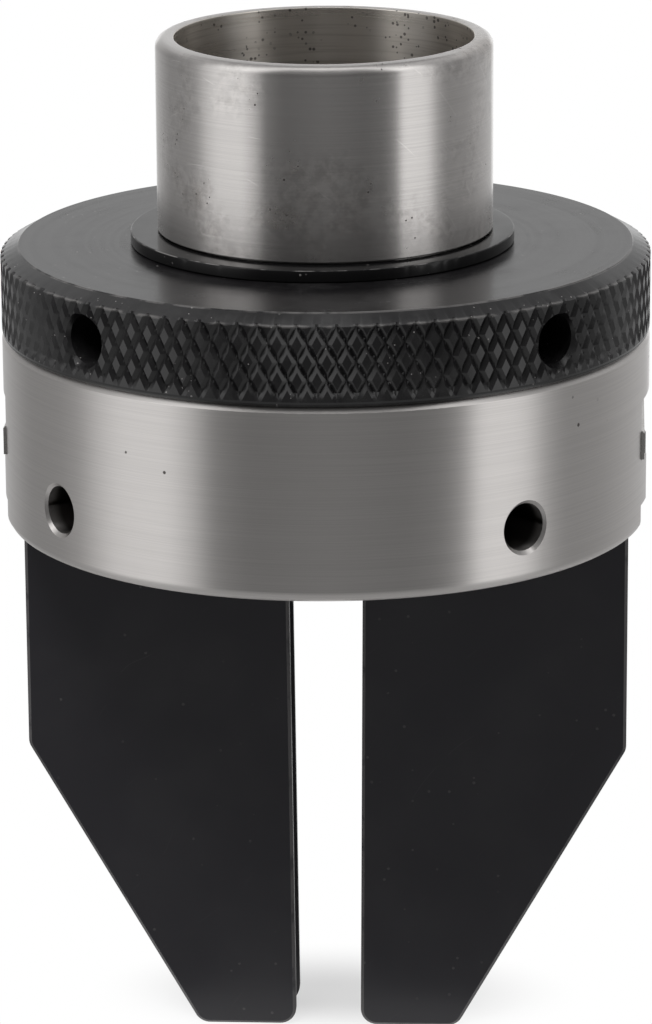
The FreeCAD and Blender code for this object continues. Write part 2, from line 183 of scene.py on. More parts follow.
def own_place(tree):
    """The object's own coordinates in a material."""
    return add_node(tree, "ShaderNodeTexCoord").outputs["Object"]


def rays_of(tree):
    """Masks of the camera's own rays, and of those that a surface mirrors or lets through."""
    path = add_node(tree, "ShaderNodeLightPath").outputs
    mirrored = sum_of(tree, "MAXIMUM", path["Is Glossy Ray"], path["Is Transmission Ray"])
    return path["Is Camera Ray"], mirrored


world = bpy.data.worlds.new("studio")
world.use_nodes = True
bpy.context.scene.world = world
tree = world.node_tree
tree.nodes.clear()
x, y, z = parts_of(tree, add_node(tree, "ShaderNodeTexCoord").outputs["Generated"])
turn = sum_of(tree, "ARCTAN2", x, sum_of(tree, "MULTIPLY", y, -1.0))
share = sum_of(tree, "MULTIPLY_ADD", turn, 0.5 / math.pi, 0.5 - VIEW_AZIMUTH * 0.5 / math.pi)
ramp = add_node(tree, "ShaderNodeValToRGB", {0: share})
stops = ramp.color_ramp.elements
for number, (angle, brightness) in enumerate(ROOM_BRIGHTNESS):
    place = angle / 360 + 0.5
    stop = stops[number] if number < 2 else stops.new(place)
    stop.position = place
    stop.color = (brightness, brightness, brightness, 1)
brightness, starts, full = FLOOR_GLOW
glow = times(tree, spread(tree, y, *IN_FRONT), spread(tree, z, starts, full, 0.0, brightness))
walls = sum_of(tree, "ADD", ramp.outputs[0], glow)
room = blend_colours(tree, spread(tree, z, *BOX_TOP_HEIGHTS), walls, scaled(tree, walls, BOX_TOP_GAIN))
sideways = sum_of(tree, "DIVIDE", sum_of(tree, "ABSOLUTE", x), length_of(tree, x, y))
between_boxes = spread(tree, sideways, *BETWEEN_BOXES)
for reach, part in ((between_boxes, UPPER_WALL), (1.0, CEILING_LIGHT), (1.0, LOWER_WALL)):
    brightness, starts, full = part
    share = times(tree, spread(tree, z, starts, full), reach)
    room = blend_colours(tree, share, room, (brightness, brightness, brightness, 1))
from_camera, mirrored = rays_of(tree)
mirrored_white = times(tree, mirrored, spread(tree, y, *STRAIGHT_BEHIND), spread(tree, z, *UNDER_HORIZON))
white = sum_of(tree, "MAXIMUM", from_camera, mirrored_white)
seen = blend_colours(tree, white, room, WHITE)
sky = add_node(tree, "ShaderNodeBackground", {"Color": seen, "Strength": 1.0})
add_node(tree, "ShaderNodeOutputWorld", {"Surface": sky.outputs[0]})

lamp = bpy.data.objects.new("soft_lamp", bpy.data.lights.new("soft_lamp", "AREA"))
lamp.data.shape = "DISK"
lamp.data.size = LAMP_SIZE
lamp.data.energy = LAMP_POWER
lamp.location = LAMP_PLACE
lamp.rotation_euler = (AIM - LAMP_PLACE).to_track_quat("-Z", "Y").to_euler()
lamp.visible_camera = False
lamp.visible_glossy = False
bpy.context.scene.collection.objects.link(lamp)

table_level = cad_box[0].z
table_mesh = bmesh.new()
bmesh.ops.create_circle(table_mesh, cap_ends=True, segments=TABLE_SIDES, radius=TABLE_RADIUS)
bmesh.ops.translate(table_mesh, verts=table_mesh.verts, vec=(0, TABLE_SETBACK, table_level))
table = bpy.data.objects.new("table", bpy.data.meshes.new("table"))
table_mesh.to_mesh(table.data)
table_mesh.free()
bpy.context.scene.collection.objects.link(table)
table_top = bpy.data.materials.new("pale_table")
table_top.use_nodes = True
tree = table_top.node_tree
tree.nodes.clear()
x, y, z = parts_of(tree, own_place(tree))
sideways = sum_of(tree, "DIVIDE", x, SHADOW_WIDTH)
off_shadow = length_of(tree, sideways, sum_of(tree, "SUBTRACT", y, SHADOW_SETBACK))
fade = spread(tree, off_shadow, *SHADOW_REACH, SHADOW_FADE, 1.0)
from_camera, mirrored = rays_of(tree)
share = times(tree, fade, sum_of(tree, "MAXIMUM", from_camera, mirrored))
paper = add_node(tree, "ShaderNodeBsdfDiffuse", {"Color": TABLE_COLOUR})
glow = add_node(tree, "ShaderNodeEmission", {"Color": WHITE, "Strength": 1.0})
faded = add_node(tree, "ShaderNodeMixShader", {0: share, 1: paper.outputs[0], 2: glow.outputs[0]})
# From below the table is clear, so that it never hides the chuck.
from_below = add_node(tree, "ShaderNodeNewGeometry").outputs["Backfacing"]
clear = add_node(tree, "ShaderNodeBsdfTransparent")
sheet = add_node(tree, "ShaderNodeMixShader", {0: from_below, 1: faded.outputs[0], 2: clear.outputs[0]})
add_node(tree, "ShaderNodeOutputMaterial", {"Surface": sheet.outputs[0]})
table.data.materials.append(table_top)


# Chuck body. Drum and hub turned from one bar of steel, the hub ground, the drum left with
# fine tool marks. A tee slot for the jaws is milled across its front, and four bar holes
# are drilled in the drum's rim.
BODY_RADIUS = 35 * MM
DRUM_FRONT = -52.7 * MM
DRUM_TOP = -31.9 * MM
DRUM_FRONT_ROUND = 1.25 * MM
DRUM_TOP_BEVEL = 0.55 * MM
RECESS_RADIUS = 30.5 * MM
HUB_RADIUS = 18.05 * MM
HUB_RIM_ROUND = 1.0 * MM
GROOVE_RADIUS = 17.15 * MM
GROOVE_TOP = -20.72 * MM
GROOVE_FOOT = -22.23 * MM
REGISTER_RADIUS = 16.03 * MM
REGISTER_FOOT = -10 * MM
THREAD_ROOT_RADIUS = 15.8 * MM
THREAD_FOOT = -22 * MM
THROUGH_RADIUS = 13 * MM
EDGE_BREAK = 0.12 * MM
REGISTER_BREAK = 0.05 * MM
SHARP_BREAK = 0.02 * MM
INNER_CHAMFER = 0.4 * MM
SLOT_WIDTH = 15 * MM
SLOT_TOP = -38.1 * MM
RAIL_GAP = 8.7 * MM
RAIL_FOOT = -49.7 * MM
RAIL_TOP = -44.7 * MM
FLANGE_TOP = -40.7 * MM
BAR_HOLES = 4
BAR_HOLE_RADIUS = 2.55 * MM
BODY_HOLE_LEVEL = DRUM_FRONT + 6.1 * MM
BODY_HOLE_DEPTH = 10 * MM
BODY_HOLE_TURN = math.radians(39.3)
BODY_HOLE_MOUTH = 2.95 * MM
BODY_MOUTH_DEPTH = 0.4 * MM
BAR_HOLE_SIDES = 64
RELIEF_HEIGHT = 0.01 * MM
CUT_CLEARANCE = 1 * MM
TURNED_COLUMNS = 384
BORE_FINISH_RADIUS = REGISTER_RADIUS + 0.085 * MM


def rounded_outline(corners, steps=4):
    """Points round a closed outline of (radius, level, round) corners, each rounded off."""
    points = []
    for number, (radius, level, size) in enumerate(corners):
        here = np.array((radius, level))
        before = np.array(corners[number - 1][:2]) - here
        after = np.array(corners[(number + 1) % len(corners)][:2]) - here
        before /= np.linalg.norm(before)
        after /= np.linalg.norm(after)
        half = math.acos(float(np.clip(before @ after, -1, 1))) / 2
        middle = here + (before + after) / np.linalg.norm(before + after) * size / math.sin(half)
        start = here + before * size / math.tan(half) - middle
        finish = here + after * size / math.tan(half) - middle
        for step in range(steps + 1):
            share = step / steps
            arm = start * (1 - share) + finish * share
            points.append(middle + arm / np.linalg.norm(arm) * size)
    return points


def turned_mesh(name, outline, columns):
    """A closed mesh turned about Z from an outline that runs anticlockwise in (radius, level)."""
    rows = len(outline)
    angles = np.arange(columns) * 2 * math.pi / columns
    outline = np.array(outline)
    radii = outline[:, 0]
    places = np.empty((columns, rows, 3))
    places[:, :, 0] = np.cos(angles)[:, None] * radii
    places[:, :, 1] = np.sin(angles)[:, None] * radii
    places[:, :, 2] = outline[:, 1]
    column, row = np.meshgrid(np.arange(columns), np.arange(rows), indexing="ij")
    next_column = (column + 1) % columns
    next_row = (row + 1) % rows
    faces = np.stack([
        column * rows + row, next_column * rows + row,
        next_column * rows + next_row, column * rows + next_row,
    ], axis=-1)
    mesh = bpy.data.meshes.new(name)
    mesh.from_pydata(places.reshape(-1, 3).tolist(), [], faces.reshape(-1, 4).tolist())
    return mesh


def new_piece(name, mesh):
    """A mesh as an object in the scene."""
    made = bpy.data.objects.new(name, mesh)
    bpy.context.scene.collection.objects.link(made)
    return made


def long_bar(name, section, start, finish):
    """A closed bar along X from a (y, z) section."""
    bar = bmesh.new()
    ends = [[bar.verts.new((x, y, z)) for y, z in section] for x in (start, finish)]
    count = len(section)
    bar.faces.new(ends[0][::-1])
    bar.faces.new(ends[1])
    for number in range(count):
        after = (number + 1) % count
        bar.faces.new((ends[0][number], ends[0][after], ends[1][after], ends[1][number]))
    bmesh.ops.recalc_face_normals(bar, faces=bar.faces)
    mesh = bpy.data.meshes.new(name)
    bar.to_mesh(mesh)
    bar.free()
    return new_piece(name, mesh)


def settle(piece):
    """Turns what the piece's modifiers make into its own plain mesh."""
    graph = bpy.context.evaluated_depsgraph_get()
    mesh = bpy.data.meshes.new_from_object(piece.evaluated_get(graph))
    piece.modifiers.clear()
    piece.data = mesh


def cut_away(piece, cutter):
    """Takes the cutter's space out of the piece."""
    cut = piece.modifiers.new("cut", "BOOLEAN")
    cut.operation = "DIFFERENCE"
    cut.solver = "EXACT"
    cut.object = cutter
    settle(piece)
    bpy.data.objects.remove(cutter)


def run_tree(piece, tree, **values):
    """Runs a geometry tree on the piece with these named inputs, and keeps the plain result."""
    step = piece.modifiers.new(tree.name, "NODES")
    step.node_group = tree
    for item in tree.interface.items_tree:
        if item.item_type == "SOCKET" and item.in_out == "INPUT" and item.name in values:
            step[item.identifier] = values[item.name]
    settle(piece)


def geometry_tree(name, inputs):
    """An empty geometry tree with these named inputs, and its group inputs."""
    made = bpy.data.node_groups.new(name, "GeometryNodeTree")
    made.interface.new_socket("Geometry", in_out="INPUT", socket_type="NodeSocketGeometry")
    made.interface.new_socket("Geometry", in_out="OUTPUT", socket_type="NodeSocketGeometry")
    for socket_name, kind in inputs.items():
        made.interface.new_socket(socket_name, in_out="INPUT", socket_type="NodeSocket" + kind)
    return made, add_node(made, "NodeGroupInput").outputs


def end_tree(tree, geometry, material):
    """Ends a geometry tree in real geometry of one material."""
    real = add_node(tree, "GeometryNodeRealizeInstances", {0: geometry})
    wires = {"Geometry": real.outputs[0], "Material": material}
    add_node(tree, "NodeGroupOutput", {0: add_node(tree, "GeometryNodeSetMaterial", wires).outputs[0]})


def vector_of(tree, x=0.0, y=0.0, z=0.0):
    """The vector with those three parts."""
    return add_node(tree, "ShaderNodeCombineXYZ", {0: x, 1: y, 2: z}).outputs[0]


def smooth_shading(piece, angle):
    """Smooth shading between faces that meet flatter than the angle, with flat faces kept flat."""
    piece.data.shade_smooth()
    piece.data.set_sharp_from_angle(angle=math.radians(angle))
    weigh = piece.modifiers.new("weigh", "WEIGHTED_NORMAL")
    weigh.keep_sharp = True
    settle(piece)


# The drill: blind holes round a rim, each with a chamfered mouth.
drill, given = geometry_tree("bar_hole_drill", {
    "Holes": "Int", "Turn": "Float", "Level": "Float", "Rim Radius": "Float", "Depth": "Float",
    "Hole Radius": "Float", "Mouth Radius": "Float", "Mouth Depth": "Float", "Material": "Material",
})
spots = add_node(drill, "GeometryNodePoints", {"Count": given["Holes"]}).outputs[0]
number = add_node(drill, "GeometryNodeInputIndex").outputs[0]
step_turn = sum_of(drill, "DIVIDE", 2 * math.pi, given["Holes"])
first_turn = sum_of(drill, "SUBTRACT", given["Turn"], math.pi / 2)
heading = sum_of(drill, "MULTIPLY_ADD", number, step_turn, first_turn)
facing = add_node(drill, "FunctionNodeEulerToRotation", {0: vector_of(drill, z=heading)}).outputs[0]
flare = sum_of(drill, "SUBTRACT", given["Mouth Radius"], given["Hole Radius"])
flare = sum_of(drill, "DIVIDE", flare, given["Mouth Depth"])
wide_radius = sum_of(drill, "MULTIPLY_ADD", flare, CUT_CLEARANCE, given["Mouth Radius"])
geometry = given["Geometry"]
for depth, outer in ((given["Depth"], given["Hole Radius"]), (given["Mouth Depth"], wide_radius)):
    cone = add_node(drill, "GeometryNodeMeshCone", {
        "Vertices": BAR_HOLE_SIDES, "Radius Bottom": given["Hole Radius"], "Radius Top": outer,
        "Depth": sum_of(drill, "ADD", depth, CUT_CLEARANCE),
    })
    inset = sum_of(drill, "SUBTRACT", given["Rim Radius"], depth)
    foot = vector_of(drill, x=inset, z=given["Level"])
    laid = add_node(drill, "GeometryNodeTransform", {
        "Geometry": cone.outputs["Mesh"], "Translation": foot, "Rotation": (0, math.pi / 2, 0)})
    round_rim = add_node(drill, "GeometryNodeInstanceOnPoints", {
        "Points": spots, "Instance": laid.outputs[0], "Rotation": facing})
    holes = add_node(drill, "GeometryNodeRealizeInstances", {0: round_rim.outputs[0]}).outputs[0]
    bored = add_node(
        drill, "GeometryNodeMeshBoolean", {"Mesh 1": geometry, "Mesh 2": holes},
        operation="DIFFERENCE", solver="EXACT")
    geometry = bored.outputs["Mesh"]
end_tree(drill, geometry, given["Material"])


def shader_group(name, inputs, outputs):
    """An empty shader group with named inputs (and their values) and masks as outputs."""
    made = bpy.data.node_groups.new(name, "ShaderNodeTree")
    for socket_name, value in inputs.items():
        socket = made.interface.new_socket(socket_name, in_out="INPUT", socket_type="NodeSocketFloat")
        socket.default_value = value
    for socket_name in outputs:
        made.interface.new_socket(socket_name, in_out="OUTPUT", socket_type="NodeSocketFloat")
    return made, add_node(made, "NodeGroupInput").outputs, add_node(made, "NodeGroupOutput").inputs


def masks_of(tree, group, **values):
    """The masks of a shader group placed in a material; underscores stand for spaces."""
    made = add_node(tree, "ShaderNodeGroup", node_tree=group)
    for key, value in values.items():
        socket = made.inputs[key.replace("_", " ")]
        if isinstance(value, bpy.types.NodeSocket):
            tree.links.new(value, socket)
        else:
            socket.default_value = value
    return made.outputs


def mask_of(tree, group, **values):
    """The mask of a shader group that has only one."""
    return masks_of(tree, group, **values)["Mask"]


def new_finish(name):
    """A material with its shader, ready for its nodes."""
    made = bpy.data.materials.new(name)
    made.use_nodes = True
    tree = made.node_tree
    tree.nodes.clear()
    shader = add_node(tree, "ShaderNodeBsdfPrincipled")
    add_node(tree, "ShaderNodeOutputMaterial", {"Surface": shader.outputs[0]})
    return made, tree, shader


def finish_metal(tree, shader, colour, rough, relief, strength):
    """Wires a colour, a roughness and a fine relief to the shader."""
    tree.links.new(colour, shader.inputs["Base Color"])
    tree.links.new(rough, shader.inputs["Roughness"])
    wires = {"Strength": strength, "Distance": RELIEF_HEIGHT, "Height": relief}
    tree.links.new(add_node(tree, "ShaderNodeBump", wires).outputs[0], shader.inputs["Normal"])


def noise_of(tree, place, scale, detail, roughness=0.5):
    """A cloudy noise from 0 to 1, whose scale is its waves in a metre."""
    wires = {"Vector": place, "Scale": scale, "Detail": detail, "Roughness": roughness}
    return add_node(tree, "ShaderNodeTexNoise", wires).outputs["Fac"]


def in_patches(tree, place, size, detail, start, softness):
    """A mask of patches of about that size, where a noise is above its start."""
    noise = noise_of(tree, place, sum_of(tree, "DIVIDE", 1.0, size), detail)
    return spread(tree, noise, start, sum_of(tree, "ADD", start, softness))


def spin_marks(tree, shader, amount):
    """Makes the shine spread along the axis, as turned steel's does."""
    shader.inputs["Metallic"].default_value = 1
    shader.inputs["Anisotropic"].default_value = amount
    shader.inputs["Anisotropic Rotation"].default_value = 0.25
    tangent = add_node(tree, "ShaderNodeTangent", direction_type="RADIAL", axis="Z")
    tree.links.new(tangent.outputs[0], shader.inputs["Tangent"])


# Tool marks: fine streaks that run round the axis, on cylinders and on faces alike.
tool_marks, given, put = shader_group(
    "tool_marks", {"Fineness": 6000.0, "Length": 0.02}, ["Streaks", "Broad"])
x, y, z = parts_of(tool_marks, own_place(tool_marks))
depth = sum_of(tool_marks, "ADD", z, length_of(tool_marks, x, y))
stretched = vector_of(
    tool_marks,
    sum_of(tool_marks, "DIVIDE", x, given["Length"]),
    sum_of(tool_marks, "DIVIDE", y, given["Length"]),
    sum_of(tool_marks, "MULTIPLY", depth, given["Fineness"]))
for mask, scale, detail in (("Streaks", 1.0, 3.0), ("Broad", 0.23, 2.0)):
    noise = noise_of(tool_marks, stretched, scale, detail, roughness=0.6)
    tool_marks.links.new(noise, put[mask])

# Specks: sparse pits or chips in patches.
specks, given, put = shader_group(
    "specks", {"Size": 0.0003, "Share": 0.1, "Patch Size": 0.01, "Patches": 0.5}, ["Mask"])
place = own_place(specks)
cells = add_node(specks, "ShaderNodeTexVoronoi", {
    "Vector": place, "Scale": sum_of(specks, "DIVIDE", 1.0, given["Size"]), "Randomness": 1.0})
pick = parts_of(specks, cells.outputs["Color"])
chosen = sum_of(specks, "LESS_THAN", pick[0], given["Share"])
reach = sum_of(specks, "MULTIPLY_ADD", pick[1], 0.25, 0.15)
dot = spread(specks, cells.outputs["Distance"], sum_of(specks, "ADD", reach, 0.12), reach)
here = in_patches(specks, place, given["Patch Size"], 3.0, given["Patches"], 0.08)
specks.links.new(times(specks, chosen, dot, here), put["Mask"])

# Scratches: a few fine lines that cross the surface at odd angles.
scratches, given, put = shader_group(
    "scratches", {"Spacing": 0.006, "Width": 0.006, "Lean": 0.5, "Patches": 0.55}, ["Mask"])
place = own_place(scratches)
x, y, z = parts_of(scratches, place)
drift = noise_of(scratches, place, scale=60.0, detail=1.0)
lean = sum_of(scratches, "MULTIPLY_ADD", z, given["Lean"], sum_of(scratches, "ADD", x, y))
wander = sum_of(scratches, "MULTIPLY_ADD", drift, 12 * MM, lean)
phase = sum_of(scratches, "PINGPONG", sum_of(scratches, "DIVIDE", wander, given["Spacing"]), 0.5)
line = spread(scratches, phase, given["Width"], times(scratches, given["Width"], 0.3))
patch = noise_of(scratches, place, scale=260.0, detail=1.0)
here = spread(scratches, patch, given["Patches"], sum_of(scratches, "ADD", given["Patches"], 0.08))
scratches.links.new(times(scratches, line, here), put["Mask"])

# Turned steel: streaks all round, with stains, scratches and more pits on the hub. The drum's
# bar holes get painted shade inside.
STEEL_BRIGHT = (0.66, 0.636, 0.620, 1)
STEEL_STAINED = (0.47, 0.425, 0.39, 1)
PIT_AND_SHADE_COLOUR = (0.09, 0.08, 0.075, 1)
HOLE_SHADE = (0.11, 0.10, 0.095, 1)
HUB_FINISH_LEVELS = (-26 * MM, -24 * MM)
HOLE_SHADE_DEPTHS = (0.7 * MM, 2 * MM)
HOLE_SHADE_REACH = (2.9 * MM, 2.7 * MM)
SLOT_UNSHADED = SLOT_WIDTH / 2 + 0.5 * MM
turned_steel, tree, shader = new_finish("turned_steel")
place = own_place(tree)
x, y, z = parts_of(tree, place)
on_hub = spread(tree, z, *HUB_FINISH_LEVELS)
marks = masks_of(tree, tool_marks, Fineness=9500.0, Length=20 * MM)
stains = noise_of(tree, place, scale=85.0, detail=6.0, roughness=0.62)
stained = times(tree, spread(tree, stains, 0.50, 0.74), sum_of(tree, "MULTIPLY_ADD", on_hub, 0.50, 0.06))
steel = blend_colours(tree, stained, STEEL_BRIGHT, STEEL_STAINED)
rubbed = noise_of(tree, place, scale=900.0, detail=4.0, roughness=0.7)
mottled = times(tree, spread(tree, rubbed, 0.35, 0.65, -0.12, 0.10), spread(tree, stains, 0.44, 0.58), on_hub)
tone = sum_of(tree, "ADD", spread(tree, marks["Streaks"], 0.3, 0.7, 0.94, 1.03), mottled)
scored = times(tree, mask_of(tree, scratches, Spacing=7 * MM, Width=0.008, Lean=1.3), on_hub)
tinted = scaled(tree, steel, sum_of(tree, "MULTIPLY_ADD", scored, 0.25, tone))
hub_pits = mask_of(tree, specks, Size=0.30 * MM, Share=0.10, Patch_Size=6 * MM, Patches=0.57)
drum_pits = mask_of(tree, specks, Size=0.6 * MM, Share=0.012, Patch_Size=20 * MM, Patches=0.52)
pits = sum_of(tree, "ADD", times(tree, hub_pits, on_hub), drum_pits, clamp=True)
colour = blend_colours(tree, times(tree, pits, 0.8), tinted, PIT_AND_SHADE_COLOUR)
under_rim = sum_of(tree, "SUBTRACT", BODY_RADIUS, length_of(tree, x, y))
off_hole = sum_of(tree, "ABSOLUTE", sum_of(tree, "SUBTRACT", z, BODY_HOLE_LEVEL))
off_slot = sum_of(tree, "GREATER_THAN", sum_of(tree, "ABSOLUTE", y), SLOT_UNSHADED)
# Painted shade: the drum's bar holes darken from just inside their mouths, away from the jaw slot.
painted_hole_shade = times(
    tree, spread(tree, under_rim, *HOLE_SHADE_DEPTHS), spread(tree, off_hole, *HOLE_SHADE_REACH), off_slot)
colour = blend_colours(tree, painted_hole_shade, colour, HOLE_SHADE)
rough = spread(tree, marks["Broad"], 0.3, 0.7, 0.30, 0.316)
rough = sum_of(tree, "MULTIPLY_ADD", on_hub, -0.065, rough)
rough = sum_of(tree, "MULTIPLY_ADD", stained, 0.10, rough)
rough = sum_of(tree, "MULTIPLY_ADD", pits, 0.4, rough)
relief = sum_of(tree, "SUBTRACT", marks["Streaks"], pits)
finish_metal(tree, shader, colour, rough, relief, 0.08)
spin_marks(tree, shader, 0.95)

# Bored steel: bright boring lines at the mouth, patches of dark pits, and painted shade that
# darkens the bore towards the thread.
BORE_STEEL = (0.82, 0.775, 0.72, 1)
BORE_SHADE = (0.52, 0.48, 0.43, 1)
DEEP_SHADE_TOP = REGISTER_FOOT + 5 * MM
DEEP_SHADE_SHARE = 0.85
bored_steel, tree, shader = new_finish("bored_steel")
x, y, z = parts_of(tree, own_place(tree))
marks = masks_of(tree, tool_marks, Fineness=3400.0, Length=12 * MM)
steel = blend_colours(tree, spread(tree, marks["Streaks"], 0.40, 0.95), BORE_STEEL, BORE_SHADE)
pits = mask_of(tree, specks, Size=0.42 * MM, Share=0.22, Patch_Size=6 * MM, Patches=0.46)
colour = blend_colours(tree, times(tree, pits, 0.8), steel, PIT_AND_SHADE_COLOUR)
# Painted shade: the bore darkens towards the register's foot and stays dark below it, thread included.
painted_deep_shade = spread(tree, z, DEEP_SHADE_TOP, REGISTER_FOOT, 0.0, DEEP_SHADE_SHARE)
colour = blend_colours(tree, painted_deep_shade, colour, PIT_AND_SHADE_COLOUR)
rough = spread(tree, marks["Broad"], 0.3, 0.7, 0.27, 0.30)
finish_metal(tree, shader, colour, rough, sum_of(tree, "SUBTRACT", marks["Streaks"], pits), 0.1)
spin_marks(tree, shader, 0.95)

body_corners = [
    (THROUGH_RADIUS, DRUM_FRONT, INNER_CHAMFER),
    (BODY_RADIUS, DRUM_FRONT, DRUM_FRONT_ROUND),
    (BODY_RADIUS, DRUM_TOP - DRUM_TOP_BEVEL, EDGE_BREAK),
    (BODY_RADIUS - DRUM_TOP_BEVEL, DRUM_TOP, EDGE_BREAK),
    (RECESS_RADIUS, DRUM_TOP, EDGE_BREAK),
    (RECESS_RADIUS, FLANGE_TOP, EDGE_BREAK),
    (HUB_RADIUS, FLANGE_TOP, EDGE_BREAK),
    (HUB_RADIUS, GROOVE_FOOT, SHARP_BREAK),
    (GROOVE_RADIUS, GROOVE_FOOT, EDGE_BREAK),
    (GROOVE_RADIUS, GROOVE_TOP, EDGE_BREAK),
    (HUB_RADIUS, GROOVE_TOP, EDGE_BREAK),
    (HUB_RADIUS, 0, HUB_RIM_ROUND),
    (REGISTER_RADIUS, 0, EDGE_BREAK),
    (REGISTER_RADIUS, REGISTER_FOOT, REGISTER_BREAK),
    (THREAD_ROOT_RADIUS, REGISTER_FOOT, REGISTER_BREAK),
    (THREAD_ROOT_RADIUS, THREAD_FOOT, EDGE_BREAK),
    (THROUGH_RADIUS, THREAD_FOOT, INNER_CHAMFER),
]
body = new_piece("turned_body", turned_mesh("turned_body", rounded_outline(body_corners), TURNED_COLUMNS))
past_rim = BODY_RADIUS + CUT_CLEARANCE
tee_slot = []
for side in (1, -1):
    edge = [
        (SLOT_WIDTH / 2, DRUM_FRONT - CUT_CLEARANCE), (SLOT_WIDTH / 2, RAIL_FOOT),
        (RAIL_GAP / 2, RAIL_FOOT), (RAIL_GAP / 2, RAIL_TOP),
        (SLOT_WIDTH / 2, RAIL_TOP), (SLOT_WIDTH / 2, SLOT_TOP),
    ]
    tee_slot += [(y * side, z) for y, z in edge[::side]]
cut_away(body, long_bar("tee_slot", tee_slot, -past_rim, past_rim))
run_tree(body, drill, **{
    "Holes": BAR_HOLES, "Turn": BODY_HOLE_TURN, "Level": BODY_HOLE_LEVEL, "Rim Radius": BODY_RADIUS,
    "Depth": BODY_HOLE_DEPTH, "Hole Radius": BAR_HOLE_RADIUS, "Mouth Radius": BODY_HOLE_MOUTH,
    "Mouth Depth": BODY_MOUTH_DEPTH, "Material": turned_steel,
})
smooth_shading(body, 28)
body.data.materials.append(bored_steel)
bored_slot = len(body.data.materials) - 1
for face in body.data.polygons:
    if face.center.xy.length < BORE_FINISH_RADIUS and face.center.z > SLOT_TOP:
        face.material_index = bored_slot
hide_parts("chuck_body")
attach(body, "chuck")


# Spindle thread. The coarse screw thread in the body's bore, cut in one piece with it below
# the smooth register, which winds on the lathe's spindle.
THREAD_PITCH = 3.175 * MM
THREAD_DEPTH = 1.65 * MM
THREAD_SINK = 0.1 * MM
THREAD_CREST = 0.45 * MM
THREAD_BASE = 2.5 * MM
THREAD_RUN_OUT = 0.06
THREAD_INSET = 1.2 * MM
WOUND_STEPS = 96

# A rib wound on a spiral or a helix, which thins away at both ends over its run out.
winding, given = geometry_tree("wound_rib", {
    "Steps": "Int", "Turns": "Float", "Start Radius": "Float", "End Radius": "Float", "Rise": "Float",
    "Level": "Float", "Base Width": "Float", "Crest Width": "Float", "Height": "Float",
    "Sink": "Float", "Lean": "Float", "Run Out": "Float", "Material": "Material",
})
line = add_node(winding, "GeometryNodeCurveSpiral", {
    "Resolution": given["Steps"], "Rotations": given["Turns"], "Start Radius": given["Start Radius"],
    "End Radius": given["End Radius"], "Height": given["Rise"], "Reverse": True})
lifted = add_node(winding, "GeometryNodeTransform", {
    "Geometry": line.outputs[0], "Translation": vector_of(winding, z=given["Level"])})
level_line = add_node(winding, "GeometryNodeSetCurveNormal", {"Curve": lifted.outputs[0]}, mode="Z_UP")
section = add_node(winding, "GeometryNodeCurvePrimitiveQuadrilateral", {
    "Height": given["Height"], "Bottom Width": given["Base Width"],
    "Top Width": given["Crest Width"], "Offset": 0.0}, mode="TRAPEZOID")
stand = sum_of(winding, "SUBTRACT", times(winding, given["Height"], 0.5), given["Sink"])
stood = add_node(winding, "GeometryNodeTransform", {
    "Geometry": section.outputs[0], "Translation": vector_of(winding, y=stand)})
leant = add_node(winding, "GeometryNodeTransform", {
    "Geometry": stood.outputs[0], "Rotation": vector_of(winding, z=given["Lean"])})
share = add_node(winding, "GeometryNodeSplineParameter").outputs["Factor"]
to_end = sum_of(winding, "PINGPONG", share, 0.5)
full = sum_of(winding, "DIVIDE", to_end, given["Run Out"], clamp=True)
wound = add_node(winding, "GeometryNodeCurveToMesh", {
    "Curve": level_line.outputs[0], "Profile Curve": leant.outputs[0], "Scale": full, "Fill Caps": True})
end_tree(winding, wound.outputs[0], given["Material"])

thread = new_piece("spindle_thread", bpy.data.meshes.new("spindle_thread"))
thread_rise = REGISTER_FOOT - THREAD_FOOT - 2 * THREAD_INSET
run_tree(thread, winding, **{
    "Steps": WOUND_STEPS, "Turns": thread_rise / THREAD_PITCH, "Start Radius": THREAD_ROOT_RADIUS,
    "End Radius": THREAD_ROOT_RADIUS, "Rise": thread_rise, "Level": THREAD_FOOT + THREAD_INSET,
    "Base Width": THREAD_BASE, "Crest Width": THREAD_CREST, "Height": THREAD_DEPTH + THREAD_SINK,
    "Sink": THREAD_SINK, "Lean": math.radians(90), "Run Out": THREAD_RUN_OUT, "Material": bored_steel,
})
smooth_shading(thread, 30)
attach(thread, "chuck")


# Scroll ring. A black oxide steel ring that turns on the hub: diamond knurled rim with four
# blind bar holes, a plate that lies in the drum's recess, and the spiral rib under it.
RING_TOP = -22.25 * MM
RING_FOOT = -31.85 * MM
RING_BORE_RADIUS = 18.11 * MM
RING_TOP_RADIUS = 33.1 * MM
RING_CHAMFER_FOOT = RING_TOP - 1.1 * MM
PLATE_RADIUS = 30.2 * MM
SCROLL_FACE = -37.8 * MM
RING_HOLE_LEVEL = RING_FOOT + 4.45 * MM
RING_HOLE_DEPTH = 9 * MM
RING_HOLE_TURN = math.radians(46.8)
RING_HOLE_MOUTH = 3.0 * MM
RING_MOUTH_DEPTH = 0.8 * MM
RING_FOOT_ROUND = 0.3 * MM
RING_BORE_BREAK = 0.2 * MM
RING_ROUND_STEPS = 3
KNURL_STARTS = 108
KNURL_STEPS = 12
KNURL_PITCH = 3.8 * MM
KNURL_PHASE = 0.5
KNURL_DEPTH = 0.38 * MM
KNURL_HALF_WIDTH = 0.25
KNURL_FAINTER = 0.85
KNURL_ROWS = 25
KNURL_STEP = KNURL_PITCH / KNURL_STEPS
KNURL_FOOT = RING_CHAMFER_FOOT - KNURL_STEP * KNURL_ROWS
KNURL_RUN_OUT = 3 * KNURL_STEP
